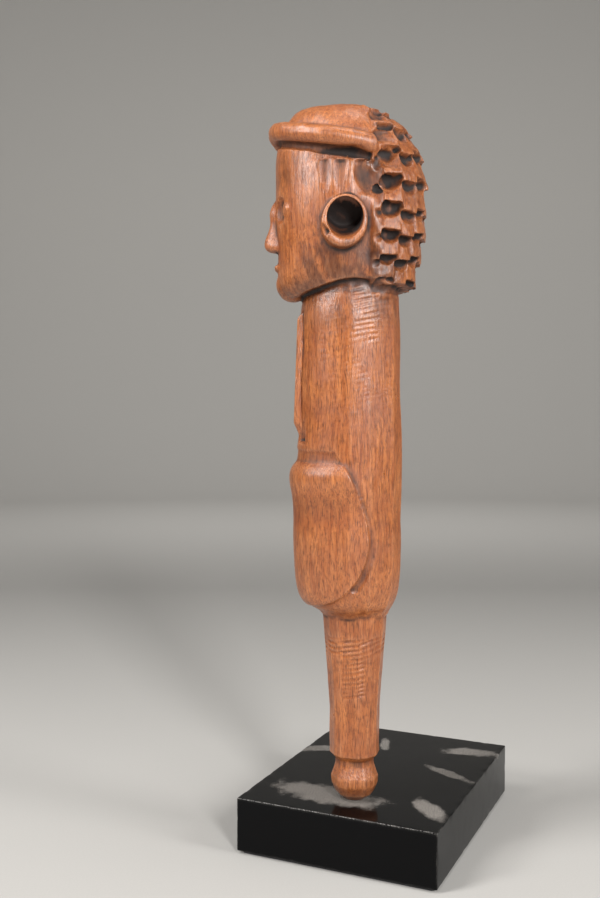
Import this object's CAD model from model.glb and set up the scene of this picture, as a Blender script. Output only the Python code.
"""A carved ancestor figure of oiled hardwood, which turns on a steel pin in a black lacquered block."""

import itertools
import math

import bmesh
import bpy
import numpy as np
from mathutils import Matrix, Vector


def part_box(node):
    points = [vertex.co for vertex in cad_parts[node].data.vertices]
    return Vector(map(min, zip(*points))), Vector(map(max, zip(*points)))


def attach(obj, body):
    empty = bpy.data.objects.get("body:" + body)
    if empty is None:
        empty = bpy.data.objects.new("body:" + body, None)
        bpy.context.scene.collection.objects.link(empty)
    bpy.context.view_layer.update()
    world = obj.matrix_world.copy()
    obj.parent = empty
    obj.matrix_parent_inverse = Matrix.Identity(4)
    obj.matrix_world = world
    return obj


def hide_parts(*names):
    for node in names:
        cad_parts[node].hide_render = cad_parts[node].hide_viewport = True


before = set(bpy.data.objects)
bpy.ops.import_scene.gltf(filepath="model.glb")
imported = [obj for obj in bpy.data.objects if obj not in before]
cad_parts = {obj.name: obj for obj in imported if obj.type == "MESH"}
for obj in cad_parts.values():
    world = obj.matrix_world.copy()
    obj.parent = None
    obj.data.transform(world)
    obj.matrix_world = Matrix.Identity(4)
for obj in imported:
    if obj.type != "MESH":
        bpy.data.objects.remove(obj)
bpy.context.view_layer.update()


# ---- Felt ----
# A sheet of charcoal wool felt, cut a little smaller than the block and glued under it to spare the
# shelf. Its pressed fibres give a matt, slightly mottled face.

def linear(colour):
    """An sRGB hex colour such as "#a0623c" as the linear colour that a shader takes."""
    channels = [int(colour[i:i + 2], 16) / 255 for i in (1, 3, 5)]
    return tuple(c / 12.92 if c <= 0.04045 else ((c + 0.055) / 1.055) ** 2.4 for c in channels) + (1,)


def add_node(tree, kind, *inputs, **settings):
    """A new node. settings are its own options, and each input is a socket with a value or a link."""
    node = tree.nodes.new(kind)
    for option, value in settings.items():
        setattr(node, option, value)
    for socket, value in inputs:
        if isinstance(value, bpy.types.NodeSocket):
            tree.links.new(value, node.inputs[socket])
        else:
            node.inputs[socket].default_value = value
    return node


def blend(tree, share, first, second):
    """The colour that lies at a share from 0 to 1 of the way from the first to the second."""
    return add_node(tree, "ShaderNodeMix", (0, share), (6, first), (7, second), data_type="RGBA").outputs[2]


def new_material(name):
    """An empty finish: the material, its node tree and its Principled shader."""
    material = bpy.data.materials.new(name)
    material.use_nodes = True
    return material, material.node_tree, material.node_tree.nodes["Principled BSDF"]


def wool_felt():
    """Pressed wool felt: matt, soft, with fibres that show as a fine mottle."""
    fibre = 0.0004      # a tuft of fibres, coarser than the 0.02 mm wool so that it shows
    material, tree, shader = new_material("charcoal_wool_felt")
    place = add_node(tree, "ShaderNodeTexCoord").outputs["Object"]
    mottle = add_node(tree, "ShaderNodeTexNoise", ("Vector", place), ("Scale", 1 / fibre),
                      ("Detail", 4)).outputs["Fac"]
    shade = blend(tree, mottle, linear("#1d1c1e"), linear("#3b393b"))
    nap = add_node(tree, "ShaderNodeBump", ("Height", mottle), ("Distance", 0.0003), ("Strength", 0.6))
    tree.links.new(shade, shader.inputs["Base Color"])
    tree.links.new(nap.outputs["Normal"], shader.inputs["Normal"])
    shader.inputs["Roughness"].default_value = 0.95
    shader.inputs["Sheen Weight"].default_value = 0.4
    return material


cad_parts["base_felt"].data.materials.clear()
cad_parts["base_felt"].data.materials.append(wool_felt())


# ---- Block ----
# A block of dense board, sanded, sprayed with black lacquer and polished. The faces have the slight
# waves of hand sanding, the eased edges are rubbed and nicked, and dust lies on the top.

def cad_copy(name):
    """A bmesh of a CAD node's shape, with its loose triangles joined."""
    bm = bmesh.new()
    bm.from_mesh(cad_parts[name].data)
    bmesh.ops.remove_doubles(bm, verts=bm.verts, dist=1e-6)
    return bm


def new_piece(name, bm, material):
    """A finished piece at the origin, with its place in its mesh."""
    mesh = bpy.data.meshes.new(name)
    bm.to_mesh(mesh)
    bm.free()
    mesh.materials.clear()
    mesh.materials.append(material)
    piece = bpy.data.objects.new(name, mesh)
    bpy.context.scene.collection.objects.link(piece)
    return piece


def uneven(points, size, seed=0):
    """Smooth noise from -1 to 1 at each point, whose lumps are about size across."""
    cell = np.floor(points / size)
    part = points / size - cell
    part = part * part * (3 - 2 * part)
    total = np.zeros(len(points))
    for corner in itertools.product((0, 1), repeat=3):
        mixed = (cell + corner) @ (127.1, 311.7, 74.7) + 53.3 * seed
        value = np.modf(np.sin(mixed) * 43758.5453)[0]
        total += value * np.prod(np.where(corner, part, 1 - part), axis=1)
    return total


def black_lacquer(low, high):
    """Polished black lacquer: a mirror-like coat over black, with dust, smears and rubbed edges."""
    dust_grain = 0.0005
    smear = 0.009
    skin = 0.004        # how far down the sides a patch of dust reaches
    raggedness, dust_ends, dust_full = 1.5, 1.95, 1.4
    # Each patch on the top: its middle from the block's own middle, half its length and width, and its turn.
    dust_patches = ((0.044, -0.012, 0.029, 0.0115, 85), (0.042, 0.040, 0.014, 0.0055, 40),
                    (-0.009, 0.035, 0.015, 0.0035, 62), (-0.047, 0.036, 0.016, 0.006, 100),
                    (-0.018, -0.044, 0.012, 0.005, 118), (-0.040, -0.012, 0.010, 0.003, 20))
    material, tree, shader = new_material("polished_black_lacquer")
    place = add_node(tree, "ShaderNodeTexCoord").outputs["Object"]
    cloud = add_node(tree, "ShaderNodeTexNoise", ("Vector", place), ("Scale", 1 / smear), ("Detail", 5),
                     ("Roughness", 0.65)).outputs["Fac"]
    grain = add_node(tree, "ShaderNodeTexNoise", ("Vector", place), ("Scale", 1 / dust_grain),
                     ("Detail", 2)).outputs["Fac"]
    dusty = 0.0
    for along, across, half_length, half_width, turn in dust_patches:
        middle = ((low.x + high.x) / 2 + along, (low.y + high.y) / 2 + across, high.z)
        laid = add_node(tree, "ShaderNodeMapping", ("Vector", place), ("Location", middle),
                        ("Rotation", (0, 0, math.radians(turn))), ("Scale", (half_length, half_width, skin)),
                        vector_type="TEXTURE").outputs[0]
        away = add_node(tree, "ShaderNodeVectorMath", (0, laid), operation="LENGTH").outputs["Value"]
        ragged = add_node(tree, "ShaderNodeMath", (0, cloud), (1, raggedness), (2, away),
                          operation="MULTIPLY_ADD").outputs[0]
        patch = add_node(tree, "ShaderNodeMapRange", (0, ragged), (1, dust_ends), (2, dust_full),
                         interpolation_type="SMOOTHSTEP").outputs[0]
        dusty = add_node(tree, "ShaderNodeMath", (0, dusty), (1, patch), operation="MAXIMUM").outputs[0]
    speck = add_node(tree, "ShaderNodeMapRange", (0, grain), (1, 0.36), (2, 0.6), (3, 0.15)).outputs[0]
    dust = add_node(tree, "ShaderNodeMath", (0, dusty), (1, speck), operation="MULTIPLY").outputs[0]
    shade = blend(tree, dust, linear("#070708"), linear("#9a948d"))
    worn = add_node(tree, "ShaderNodeAttribute", attribute_name="worn").outputs["Fac"]
    narrow = add_node(tree, "ShaderNodeMath", (0, worn), (1, 3.5), operation="POWER").outputs[0]
    chipped = add_node(tree, "ShaderNodeMapRange", (0, grain), (1, 0.44), (2, 0.6)).outputs[0]
    rubbed = add_node(tree, "ShaderNodeMath", (0, narrow), (1, chipped), operation="MULTIPLY").outputs[0]
    shade = blend(tree, rubbed, shade, linear("#cfcac3"))
    haze = add_node(tree, "ShaderNodeMapRange", (0, cloud), (1, 0.3), (2, 0.8), (3, 0.1),
                    (4, 0.24)).outputs[0]
    gloss = add_node(tree, "ShaderNodeMath", (0, dusty), (1, 0.45), (2, haze), operation="MULTIPLY_ADD")
    tree.links.new(shade, shader.inputs["Base Color"])
    tree.links.new(gloss.outputs[0], shader.inputs["Roughness"])
    shader.inputs["Specular IOR Level"].default_value = 0.12
    settle = add_node(tree, "ShaderNodeBump", ("Height", dust), ("Distance", 0.0001), ("Strength", 0.5))
    tree.links.new(settle.outputs["Normal"], shader.inputs["Normal"])
    return material


def lacquered_block():
    """The block, cut into small facets whose corners are then moved by sanding waves and edge nicks."""
    facet = 0.002
    sanding_wave, wave_size = 0.00003, 0.022
    nick_depth, nick_size, edge_reach = 0.0007, 0.003, 0.0010
    nick_start = 0.25       # how high the noise stands where a nick begins
    edge_wear, front_wear, wear_change = 0.55, 0.45, 0.3
    bore_reach = 0.006
    low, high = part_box("base_block")
    pin_low, pin_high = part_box("mounting_pin")
    bm = cad_copy("base_block")
    bmesh.ops.dissolve_limit(bm, angle_limit=0.01, verts=bm.verts, edges=bm.edges)
    for axis in range(3):
        normal = Vector([float(axis == other) for other in range(3)])
        cuts = int((high[axis] - low[axis]) / facet)
        for cut in range(1, cuts):
            point = low + normal * (cut * (high[axis] - low[axis]) / cuts)
            bmesh.ops.bisect_plane(bm, geom=bm.verts[:] + bm.edges[:] + bm.faces[:], dist=1e-7,
                                   plane_co=point, plane_no=normal)
    bmesh.ops.triangulate(bm, faces=[face for face in bm.faces if len(face.verts) > 4])
    bm.normal_update()
    points = np.array([vert.co for vert in bm.verts])
    normals = np.array([vert.normal for vert in bm.verts])
    inside = np.sort(np.minimum(points - np.array(low), np.array(high) - points), axis=1)
    edge = np.clip(1 - inside[:, 1] / edge_reach, 0, 1)
    beside_bore = np.hypot(*(points - np.array(pin_low + pin_high) / 2)[:, :2].T) < bore_reach
    nick = np.clip(uneven(points, nick_size, 5) - nick_start, 0, 1) * edge
    push = sanding_wave * (uneven(points, wave_size, 3) - 1) - nick_depth * nick
    points += normals * np.where(beside_bore, 0, push)[:, None]
    top_front = (points[:, 0] > high.x - edge_reach) * (points[:, 2] > high.z - edge_reach)
    change = wear_change * uneven(points, nick_size, 9)
    wear = edge * np.clip(edge_wear + front_wear * top_front + change, 0, 1)
    worn = bm.verts.layers.float.new("worn")
    for vert, point, share in zip(bm.verts, points, wear):
        vert.co = point
        vert[worn] = share
    piece = new_piece("lacquered_block", bm, black_lacquer(low, high))
    piece.data.shade_smooth()
    piece.data.set_sharp_from_angle(angle=math.radians(35))
    return piece


block = lacquered_block()
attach(block, "base")
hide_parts("base_block")


# ---- Pin ----
# A length of ground steel rod, pressed into the block. The figure slips over it and can be turned on
# it or lifted off, which leaves fine rings round the rod.

def ground_steel():
    """Ground mild steel: bright, with fine rings from turning and rubbing."""
    ring = 0.00025
    material, tree, shader = new_material("ground_steel")
    place = add_node(tree, "ShaderNodeTexCoord").outputs["Object"]
    turned = add_node(tree, "ShaderNodeMapping", ("Vector", place), ("Scale", (20, 20, 1 / ring)))
    rings = add_node(tree, "ShaderNodeTexNoise", ("Vector", turned.outputs[0]), ("Scale", 1),
                     ("Detail", 3)).outputs["Fac"]
    gloss = add_node(tree, "ShaderNodeMapRange", (0, rings), (3, 0.22), (4, 0.42)).outputs[0]
    shade = blend(tree, rings, linear("#a9a7a3"), linear("#cfcdc9"))
    groove = add_node(tree, "ShaderNodeBump", ("Height", rings), ("Distance", 0.00002), ("Strength", 0.5))
    tree.links.new(shade, shader.inputs["Base Color"])
    tree.links.new(gloss, shader.inputs["Roughness"])
    tree.links.new(groove.outputs["Normal"], shader.inputs["Normal"])
    shader.inputs["Metallic"].default_value = 1
    return material


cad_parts["mounting_pin"].data.materials.clear()
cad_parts["mounting_pin"].data.materials.append(ground_steel())


# ---- Figure ----
# One piece of close-grained reddish hardwood, roughed out with an adze, cut with knife and gouge, and
# then oiled, handled and polished. Every face keeps the shallow scoops and ripples of the blade.

def oiled_hardwood():
    """Oiled and handled hardwood: orange-brown, with dark pores along the grain and dark oil in hollows."""
    pore_width, pore_length = 0.00042, 0.006
    figure_width, figure_length = 0.0016, 0.03
    mottle = 0.0022
    blotch = 0.016
    material, tree, shader = new_material("oiled_reddish_hardwood")
    place = add_node(tree, "ShaderNodeTexCoord").outputs["Object"]
    wander = add_node(tree, "ShaderNodeTexNoise", ("Vector", place), ("Scale", 1 / 0.03), ("Detail", 2))
    bent = add_node(tree, "ShaderNodeVectorMath", (0, wander.outputs["Color"]), (1, (0.004, 0.004, 0)),
                    (2, place), operation="MULTIPLY_ADD").outputs[0]
    along = add_node(tree, "ShaderNodeMapping", ("Vector", bent),
                     ("Scale", (1 / pore_width, 1 / pore_width, 1 / pore_length))).outputs[0]
    pores = add_node(tree, "ShaderNodeTexNoise", ("Vector", along), ("Scale", 1), ("Detail", 2),
                     ("Roughness", 0.6)).outputs["Fac"]
    pore = add_node(tree, "ShaderNodeMapRange", (0, pores), (1, 0.5), (2, 0.64)).outputs[0]
    streaked = add_node(tree, "ShaderNodeMapping", ("Vector", bent),
                        ("Scale", (1 / figure_width, 1 / figure_width, 1 / figure_length))).outputs[0]
    streaks = add_node(tree, "ShaderNodeTexNoise", ("Vector", streaked), ("Scale", 1), ("Detail", 6),
                       ("Roughness", 0.62)).outputs["Fac"]
    patches = add_node(tree, "ShaderNodeTexNoise", ("Vector", place), ("Scale", 1 / blotch), ("Detail", 5),
                       ("Roughness", 0.6)).outputs["Fac"]
    stains = add_node(tree, "ShaderNodeTexNoise", ("Vector", place), ("Scale", 1 / mottle), ("Detail", 4),
                      ("Roughness", 0.7)).outputs["Fac"]
    hollow = add_node(tree, "ShaderNodeAttribute", attribute_name="hollow").outputs["Fac"]
    old_oil = add_node(tree, "ShaderNodeAttribute", attribute_name="old_oil").outputs["Fac"]
    ridge = add_node(tree, "ShaderNodeAttribute", attribute_name="ridge").outputs["Fac"]
    tone = add_node(tree, "ShaderNodeMapRange", (0, streaks), (1, 0.3), (2, 0.7)).outputs[0]
    shade = blend(tree, tone, linear("#91491e"), linear("#c87a42"))
    patina = add_node(tree, "ShaderNodeMapRange", (0, patches), (1, 0.42), (2, 0.68), (4, 0.6)).outputs[0]
    shade = blend(tree, patina, shade, linear("#8a4522"))
    stained = add_node(tree, "ShaderNodeMapRange", (0, stains), (1, 0.5), (2, 0.68), (4, 0.55)).outputs[0]
    shade = blend(tree, stained, shade, linear("#6c3216"))
    soaked = add_node(tree, "ShaderNodeMath", (0, old_oil), (1, 0.88), operation="MULTIPLY").outputs[0]
    shade = blend(tree, soaked, shade, linear("#47200e"))
    rubbed = add_node(tree, "ShaderNodeMath", (0, ridge), (1, 0.35), operation="MULTIPLY").outputs[0]
    shade = blend(tree, rubbed, shade, linear("#cf8f66"))
    dark_pore = add_node(tree, "ShaderNodeMath", (0, pore), (1, 0.66), operation="MULTIPLY").outputs[0]
    shade = blend(tree, dark_pore, shade, linear("#48200e"))
    grime = add_node(tree, "ShaderNodeMath", (0, hollow), (1, 1.3), operation="POWER").outputs[0]
    shade = blend(tree, grime, shade, linear("#1c0c06"))
    gloss = add_node(tree, "ShaderNodeMapRange", (0, patches), (1, 0.3), (2, 0.7), (3, 0.27), (4, 0.4))
    dull = add_node(tree, "ShaderNodeMath", (0, hollow), (1, 0.45), (2, gloss.outputs[0]),
                    operation="MULTIPLY_ADD").outputs[0]
    fine = add_node(tree, "ShaderNodeMath", (0, streaks), (1, 0.5), (2, pores),
                    operation="MULTIPLY_ADD").outputs[0]
    open_grain = add_node(tree, "ShaderNodeBump", ("Height", fine), ("Distance", 0.00025),
                          ("Strength", 0.55)).outputs["Normal"]
    tree.links.new(shade, shader.inputs["Base Color"])
    tree.links.new(dull, shader.inputs["Roughness"])
    tree.links.new(open_grain, shader.inputs["Normal"])
    shader.inputs["IOR"].default_value = 1.5
    shader.inputs["Specular IOR Level"].default_value = 0.7
    return material


def relaxed(points, edges, rounds, share=1.0):
    """Points moved towards the middle of their neighbours, as sanding and handling wear a surface."""
    first, second = edges.T
    neighbours = np.bincount(edges.ravel(), minlength=len(points))[:, None]
    for _ in range(rounds):
        middle = np.stack([np.bincount(first, points[second, axis], len(points))
                           + np.bincount(second, points[first, axis], len(points))
                           for axis in range(3)], axis=1) / neighbours
        points = points + 0.5 * share * (middle - points)
    return points


def scoops(points, width, height, seed):
    """How deep a blade went at each point, from 0 to 1: overlapping strokes that long along the grain."""
    stretched = points / (width, width, height)
    cell = np.floor(stretched)
    nearest = np.full(len(points), 9.0)
    for corner in itertools.product((-1, 0, 1), repeat=3):
        middle = cell + corner
        for axis, weights in enumerate(((12.9, 78.2, 37.7), (39.3, 11.1, 83.1), (73.1, 52.2, 9.1))):
            jitter = np.modf(np.sin((cell + corner) @ weights + seed) * 43758.5453)[0]
            middle[:, axis] += 0.5 + 0.5 * jitter
        nearest = np.minimum(nearest, np.sum((stretched - middle) ** 2, axis=1))
    return np.clip(1 - nearest, 0, 1)


def within(value, low, high, fade):
    """1 between low and high, falling to 0 over a distance of fade outside them."""
    return np.clip((value - low) / fade + 1, 0, 1) * np.clip((high - value) / fade + 1, 0, 1)


def mesh_arrays(mesh):
    """The vertices, their normals and the edges of a mesh."""
    points = np.zeros(len(mesh.vertices) * 3)
    mesh.vertices.foreach_get("co", points)
    normals = np.zeros(len(mesh.vertices) * 3, np.float32)
    mesh.vertex_normals.foreach_get("vector", normals)
    edges = np.zeros(len(mesh.edges) * 2, np.int64)
    mesh.edges.foreach_get("vertices", edges)
    return points.reshape(-1, 3), normals.reshape(-1, 3).astype(float), edges.reshape(-1, 2)


def modified(piece, kind, **settings):
    """The piece's mesh with one modifier applied, which takes the place of its mesh."""
    modifier = piece.modifiers.new(kind.lower(), kind)
    for name, value in settings.items():
        setattr(modifier, name, value)
    evaluated = piece.evaluated_get(bpy.context.evaluated_depsgraph_get())
    mesh = bpy.data.meshes.new_from_object(evaluated)
    piece.modifiers.clear()
    piece.data = mesh
    return mesh


head_middle = 4.0          # the head's widest place, forward of the pin, in mm


def hair_mass(to_local):
    """A smooth closed mass over the CAD figure's tufts, for the tufts to be cut from."""
    above, half_width = 249.0, 32.3         # what counts as hair, in mm, which leaves out the ears
    ear_top, behind_ear, behind_band = 290.0, -4.5, -10.0
    bm = cad_copy("carved_figure")
    local = to_local(np.array([vert.co for vert in bm.verts]))
    behind = np.where(local[:, 2] < ear_top, behind_ear, behind_band)
    spare = (local[:, 0] > behind) | (local[:, 2] < above) | (np.abs(local[:, 1]) > half_width)
    bmesh.ops.delete(bm, geom=[vert for vert, drop in zip(bm.verts, spare) if drop], context="VERTS")
    hull = bmesh.ops.convex_hull(bm, input=bm.verts)
    kept = {item for item in hull["geom"] if isinstance(item, bmesh.types.BMFace)}
    bmesh.ops.delete(bm, geom=[face for face in bm.faces if face not in kept], context="FACES")
    bmesh.ops.recalc_face_normals(bm, faces=bm.faces)
    return bm


def tuft_cuts(local):
    """How deep the hair is cut at each point, in mm: rows of lens-shaped notches, one below each tuft."""
    column_angle, pitch, stagger = 17.0, 11.4, 2.4
    face, slope, deepest = 0.56, 0.22, 5.0
    lowest, dome_start, dome_height, dome_reach = 249.8, 287.0, 50.0, 38.0
    half_width, back, middle_column, wander = 32, 35.5, 3.5, 0.9
    x, y, z = (local + wander * np.stack([uneven(local, 10, seed) for seed in (41, 42, 43)], axis=1)).T
    turn = np.degrees(np.arctan2(y / half_width, (head_middle - x) / back))
    column = np.round(turn / column_angle + middle_column)
    across = 2 * (turn / column_angle + middle_column - column)     # -1 to 1 over a column
    climb = np.arctan2((z - dome_start) / dome_height, np.hypot(x - head_middle, y) / dome_reach)
    walked = np.where(z < dome_start, z - dome_start, 0.5 * (dome_height + dome_reach) * climb)
    rows = (walked - (lowest - dome_start) - stagger * (column % 2)) / pitch
    row = np.floor(rows)
    tuft = np.stack([column, row, 0 * row], axis=1)
    rise = rows - row + 0.07 * uneven(tuft * 7.3, 1, 44)     # 0 at a tuft's lower edge, 1 at the next
    notch = np.clip((rise - face - 0.22 * across ** 2) / slope, 0, 1) * (1 - 0.55 * np.abs(across) ** 4)
    depth = deepest * (1 + 0.22 * uneven(tuft * 5.1, 1, 45)) * notch
    share = (z - 246) / 91
    depth *= 1 - 1.3 * np.clip(share - 0.6, 0, 1)
    rounding = 0.4 * across ** 2 + 1.3 * np.clip(rise / face, 0, 1) ** 1.5 * (1 - notch)
    return depth + rounding + 0.35 * (1 + uneven(tuft * 3.7, 1, 46))


def facet_cuts(local, ridges, share):
    """How deep flat faces are cut into a round, in mm, between ridges at these angles from the front."""
    x, y = local.T[:2]
    angle = np.degrees(np.arctan2(y, x)) % 360 + 3.0 * uneven(local * (0, 0, 1), 38, 51)
    stops = np.array(ridges)
    place = np.clip(np.searchsorted(stops, angle) - 1, 0, len(stops) - 2)
    half = (stops[place + 1] - stops[place]) / 2
    off = np.clip(angle - stops[place] - half, -half, half)
    return share * np.hypot(x, y) * (1 - np.cos(np.radians(half)) / np.cos(np.radians(off)))


def carved_wood_figure():
    """The figure: the CAD shape made an even skin of small faces, worn, and cut over by the blade."""
    mm = 0.001
    skin = 0.55 * mm
    most_triangles = 195_000
    turn = math.radians(24.5)               # how far the figure faces round from the block's short side
    leg_foot, torso_foot, head_foot = 21, 92, 248      # heights above the block's top, in mm
    torso_ridges = (84, 106, 139, 163, 195, 222, 251, 279)     # degrees from the front, round the back

    pin_low, pin_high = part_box("mounting_pin")
    foot = np.array(((pin_low.x + pin_high.x) / 2, (pin_low.y + pin_high.y) / 2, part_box("base_block")[1].z))
    to_figure = np.array(((math.sin(turn), -math.cos(turn), 0), (math.cos(turn), math.sin(turn), 0),
                          (0, 0, 1)))

    def to_local(points):
        """Points as forward, left and up from the foot, in mm."""
        return (points - foot) @ to_figure.T / mm

    bm = cad_copy("carved_figure")
    mass = hair_mass(to_local)
    whole = bpy.data.meshes.new("hair_mass")
    mass.to_mesh(whole)
    mass.free()
    bm.from_mesh(whole)
    piece = new_piece("carved_wood_figure", bm, oiled_hardwood())
    mesh = modified(piece, "REMESH", mode="VOXEL", voxel_size=skin, use_smooth_shade=True)

    points, normals, edges = mesh_arrays(mesh)
    local = to_local(points)
    sweep = np.degrees(np.arctan2(np.abs(local[:, 1]), head_middle - local[:, 0]))
    hair = (within(sweep, -1, 66, 5) * within(local[:, 2], 251, 400, 2) * within(local[:, 0], -80, -7, 4)
            * (np.hypot(local[:, 0] - head_middle, local[:, 1]) > 15))
    lean = relaxed(normals, edges, 14)
    lean /= np.linalg.norm(lean, axis=1)[:, None]
    local -= (lean @ to_figure.T) * (hair * tuft_cuts(local))[:, None]
    mesh.vertices.foreach_set("co", (local * mm @ to_figure + foot).ravel())
    mesh = modified(piece, "REMESH", mode="VOXEL", voxel_size=skin, use_smooth_shade=True)

    points, normals, edges = mesh_arrays(mesh)
    local = to_local(points)
    turned = normals @ to_figure.T
    bore = within(np.hypot(local[:, 0], local[:, 1]), 0, 3.2, 0.6) * within(local[:, 2], -1, 33, 1)
    solid = 1 - bore
    knob = within(local[:, 2], -1, leg_foot + 3, 2)
    local = relaxed(local, edges, 2, share=(solid * (1 - knob))[:, None])
    x, y, z = local.T
    head = within(z, head_foot, 400, 2)
    torso = within(z, torso_foot + 3, head_foot - 4, 4)
    leg = within(z, leg_foot + 4, torso_foot, 4)
    sweep = np.degrees(np.arctan2(np.abs(y), head_middle - x))
    hair = head * within(sweep, -1, 64, 5) * within(x, -80, -6, 3)
    crown = within(z, 322, 400, 2) * (1 - hair)
    face = head * (1 - hair) * (1 - crown)

    drift = np.stack([uneven(local, 8, seed) for seed in (11, 12, 13)], axis=1)
    sway = np.stack([uneven(local, 34, seed) for seed in (21, 22, 23)], axis=1)
    local = local + (0.5 * hair)[:, None] * drift + (0.15 * solid)[:, None] * sway * (1, 1, 0.3)

    cut = np.zeros(len(local))
    cut += torso * facet_cuts(local, torso_ridges, 0.75)
    # Where the scoops are, then their depth, width and length in mm, and their seed.
    strokes = ((torso * within(x, -80, 20, 5), 0.26, 8, 26, 1), (leg, 0.3, 7, 14, 2),
               (crown, 0.45, 5, 9, 3), (face, 0.2, 6, 13, 4))
    for where, deep, wide, long, seed in strokes:
        cut += where * deep * scoops(local, wide, long, seed)
    cut += hair * (0.4 * scoops(local, 3.5, 4, 5) + 0.15 * (1 + uneven(local, 2.0, 6)))
    cut += solid * 0.05 * (1 + uneven(local * (1, 1, 0.2), 1.1, 7))

    # The widest flute, behind the temple, is a bowl, and the undercut of the headband runs into the others.
    bowl_depth, join_depth = 1.9, 0.85
    bowl = 1 - ((x + 4.5) / 7.5) ** 2 - ((z - 0.5 * x - 299) / 7) ** 2
    cut += head * (np.abs(y) > 15) * bowl_depth * np.clip(bowl, 0, 1)
    over_flutes = within(z, 307, 311, 1.5) * within(x, 4, 17, 8) * (np.abs(y) > 15)
    cut += head * join_depth * over_flutes

    # Ripples where the blade chattered across the grain: under the head, and on the outside of the leg.
    slant, pitch, drift_share = 0.2, 2.4, 0.5
    neck_ripple, leg_ripple = 0.13, 0.34
    change = uneven(local * (0.4, 0.4, 1), 6, 31)
    ripple = np.sin(2 * math.pi * ((z + slant * x) / pitch + drift_share * change))
    under_head = within(z, 226, 250, 4) * within(x, -9, 2, 1.5) * (y > 0)
    high_rings = within(z, 196, 250, 6) * (x < 18) * 0.22
    on_leg = (within(z, 54, 80, 2) * within(x, -2.5, 5, 2.5) + 0.9 * within(z, 74, 81, 1.5)) * (y > 0)
    patchy = np.clip(0.7 + uneven(local, 4, 32), 0, 1)
    cut += (neck_ripple * (1 + ripple) * patchy * np.clip(under_head + high_rings, 0, 1)
            + leg_ripple * (1 + ripple) * patchy * np.clip(on_leg, 0, 1))

    local -= turned * (cut * solid)[:, None]
    local = relaxed(local, edges, 1, share=(0.6 * solid * (1 - knob))[:, None])
    mesh.vertices.foreach_set("co", (local * mm @ to_figure + foot).ravel())
    mesh.update()
    mesh = modified(piece, "DECIMATE", ratio=most_triangles / (2 * len(mesh.polygons)))

    points, normals, edges = mesh_arrays(mesh)
    local = to_local(points)
    x, y, z = local.T
    ear_x, ear_z, ear_inside = 7, 279, 9.5
    hollow_rounds, hollow_reach = 40, 0.7
    ridge_rounds, ridge_reach = 5, 0.13
    in_ear = within(np.hypot(x - ear_x, z - ear_z), 0, ear_inside, 1) * within(np.abs(y), 0, 30, 3)
    upwards, forwards = z - (ear_z - 2), x - ear_x
    in_ear *= np.clip(0.62 + 0.05 * upwards - 0.04 * forwards + 0.25 * uneven(local, 3, 63), 0.2, 1)
    jaw = within(z, 244, 260, 13) * within(x, -8, 20, 12) * (z > 247)
    under_band = within(z, 300, 309, 5) * within(x, -6, 60, 6)
    throat = within(z, 235, 247, 6) * 0.35
    jaw_edge = within(z, 244, 252, 4) * within(x, -8, 60, 6) * (z > 247) * 0.4
    under_knob = within(z, -1, 5, 4) * 0.5
    hair_ground = (z > 247) * within(x, -80, -8, 6)
    blots = 1 + 1.1 * uneven(local, 4.5, 61) + 0.9 * uneven(local, 1.8, 62)
    soaked = (0.85 * jaw + 0.35 * under_band + throat + 0.25 * hair_ground) * blots
    oil = np.clip(soaked + jaw_edge + under_knob, 0, 1)
    smoothed = {rounds: np.sum((relaxed(points, edges, rounds) - points) * normals, axis=1) / mm
                for rounds in (ridge_rounds, hollow_rounds)}
    worn = {"hollow": smoothed[hollow_rounds] / hollow_reach + in_ear,
            "ridge": -smoothed[ridge_rounds] / ridge_reach, "old_oil": oil}
    for name, amount in worn.items():
        layer = mesh.attributes.new(name, "FLOAT", "POINT")
        layer.data.foreach_set("value", np.clip(amount, 0, 1))
    mesh.shade_smooth()
    return piece


figure = carved_wood_figure()
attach(figure, "figure")
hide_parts("carved_figure")


# ---- Studio ----
# The piece stands on pale paper, which rises all round it, under soft boxes at each side, in front and
# overhead. One more lights the paper behind, and a strip catches the block's front edge. None of this
# is part of the object.

def pale_paper():
    """Seamless background paper: matt and pale, with a faint tooth."""
    material, tree, shader = new_material("pale_background_paper")
    place = add_node(tree, "ShaderNodeTexCoord").outputs["Object"]
    tooth = add_node(tree, "ShaderNodeTexNoise", ("Vector", place), ("Scale", 1 / 0.001),
                     ("Detail", 2)).outputs["Fac"]
    shade = blend(tree, tooth, linear("#bbb8b3"), linear("#c2bfba"))
    tree.links.new(shade, shader.inputs["Base Color"])
    shader.inputs["Roughness"].default_value = 0.85
    shader.inputs["Specular IOR Level"].default_value = 0.2
    return material


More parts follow.
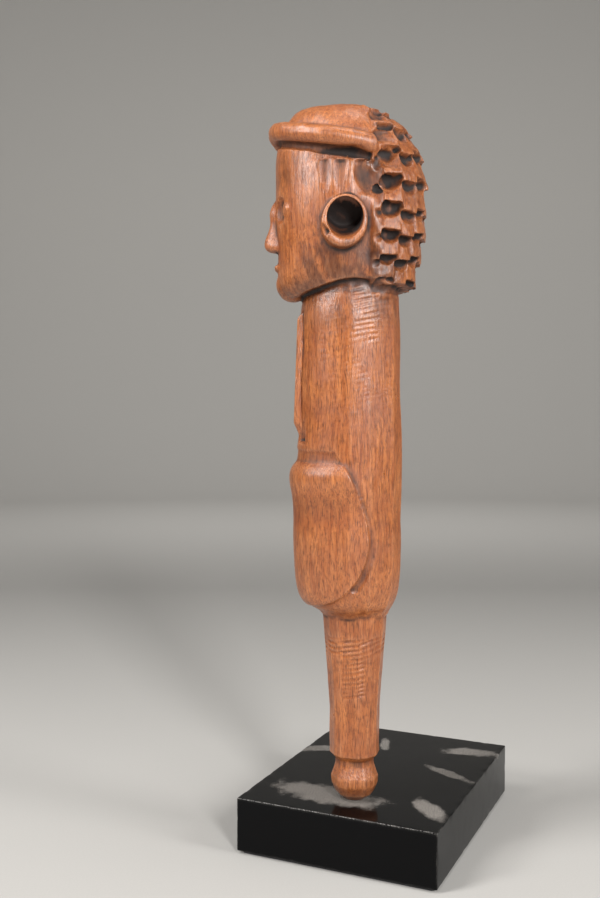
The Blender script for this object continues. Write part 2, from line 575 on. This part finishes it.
def paper_cove(middle):
    """A round sheet that lies flat, then bends up all round the object."""
    flat, bend, rise = 2.1, 0.9, 1.6
    bend_steps, turns = 16, 96
    bm = bmesh.new()
    path = [(0.0, 0.0), (flat, 0.0)]
    for step in range(1, bend_steps + 1):
        angle = math.pi / 2 * step / bend_steps
        path.append((flat + bend * math.sin(angle), bend * (1 - math.cos(angle))))
    path.append((flat + bend, bend + rise))
    verts = [bm.verts.new(middle + Vector((out, 0, height))) for out, height in path]
    edges = [bm.edges.new(pair) for pair in zip(verts, verts[1:])]
    bmesh.ops.spin(bm, geom=verts + edges, cent=middle, axis=(0, 0, 1), dvec=(0, 0, 0),
                   angle=2 * math.pi, steps=turns, use_merge=True)
    bmesh.ops.remove_doubles(bm, verts=bm.verts, dist=1e-5)
    bmesh.ops.recalc_face_normals(bm, faces=bm.faces)
    cove = new_piece("paper_cove", bm, pale_paper())
    cove.data.shade_smooth()
    return cove


def soft_box(name, target, offset, size, watts):
    """A rectangular soft light at an offset from a target, aimed at it."""
    light = bpy.data.lights.new(name, "AREA")
    light.shape = "RECTANGLE"
    light.size, light.size_y = size
    light.energy = watts
    lamp = bpy.data.objects.new(name, light)
    lamp.location = target + offset
    lamp.rotation_euler = (-offset).to_track_quat("-Z", "Y").to_euler()
    bpy.context.scene.collection.objects.link(lamp)


view_turn = math.radians(114.5)             # the way the camera faces, round from looking along +Y
towards = Vector((math.sin(view_turn), -math.cos(view_turn), 0))
right = Vector((-towards.y, towards.x, 0))
up = Vector((0, 0, 1))
middle = Vector((0.04, 0, 0.22))
paper_cove(Vector((0.04, 0, 0)))
soft_box("left_box", middle, 0.57 * towards - 1.0 * right + 0.48 * up, (0.3, 0.35), 8)
soft_box("front_box", middle, 1.05 * towards + 0.33 * right + 0.38 * up, (0.16, 0.4), 10)
soft_box("right_box", middle, 0.45 * towards + 0.9 * right + 0.4 * up, (0.25, 0.7), 6)
soft_box("top_box", middle, 0.1 * towards + 0.15 * right + 1.0 * up, (0.3, 0.3), 2)
paper_behind = -2.2 * towards + 0.8 * up
front_edge = Vector((0.067, 0.0, 0.028))
soft_box("backdrop_box", paper_behind, 1.2 * towards + 0.3 * up, (1.6, 0.3), 14)
soft_box("edge_strip", front_edge, Vector((0.33, -0.32, 0.77)), (0.12, 0.4), 3)

world = bpy.data.worlds.new("studio_air")
bpy.context.scene.world = world
world.use_nodes = True
world.node_tree.nodes["Background"].inputs["Color"].default_value = linear("#d9dadb")
world.node_tree.nodes["Background"].inputs["Strength"].default_value = 0.22
bpy.context.scene.view_settings.view_transform = "Standard"

lens = bpy.data.cameras.new("camera")
lens.sensor_width = 36
lens.lens = 40.49
lens.clip_start = 0.01
camera = bpy.data.objects.new("camera", lens)
camera.location = (0.5039, 0.1821, 0.2183)
camera.rotation_euler = (math.radians(88), 0, view_turn)
bpy.context.scene.collection.objects.link(camera)
bpy.context.scene.camera = camera
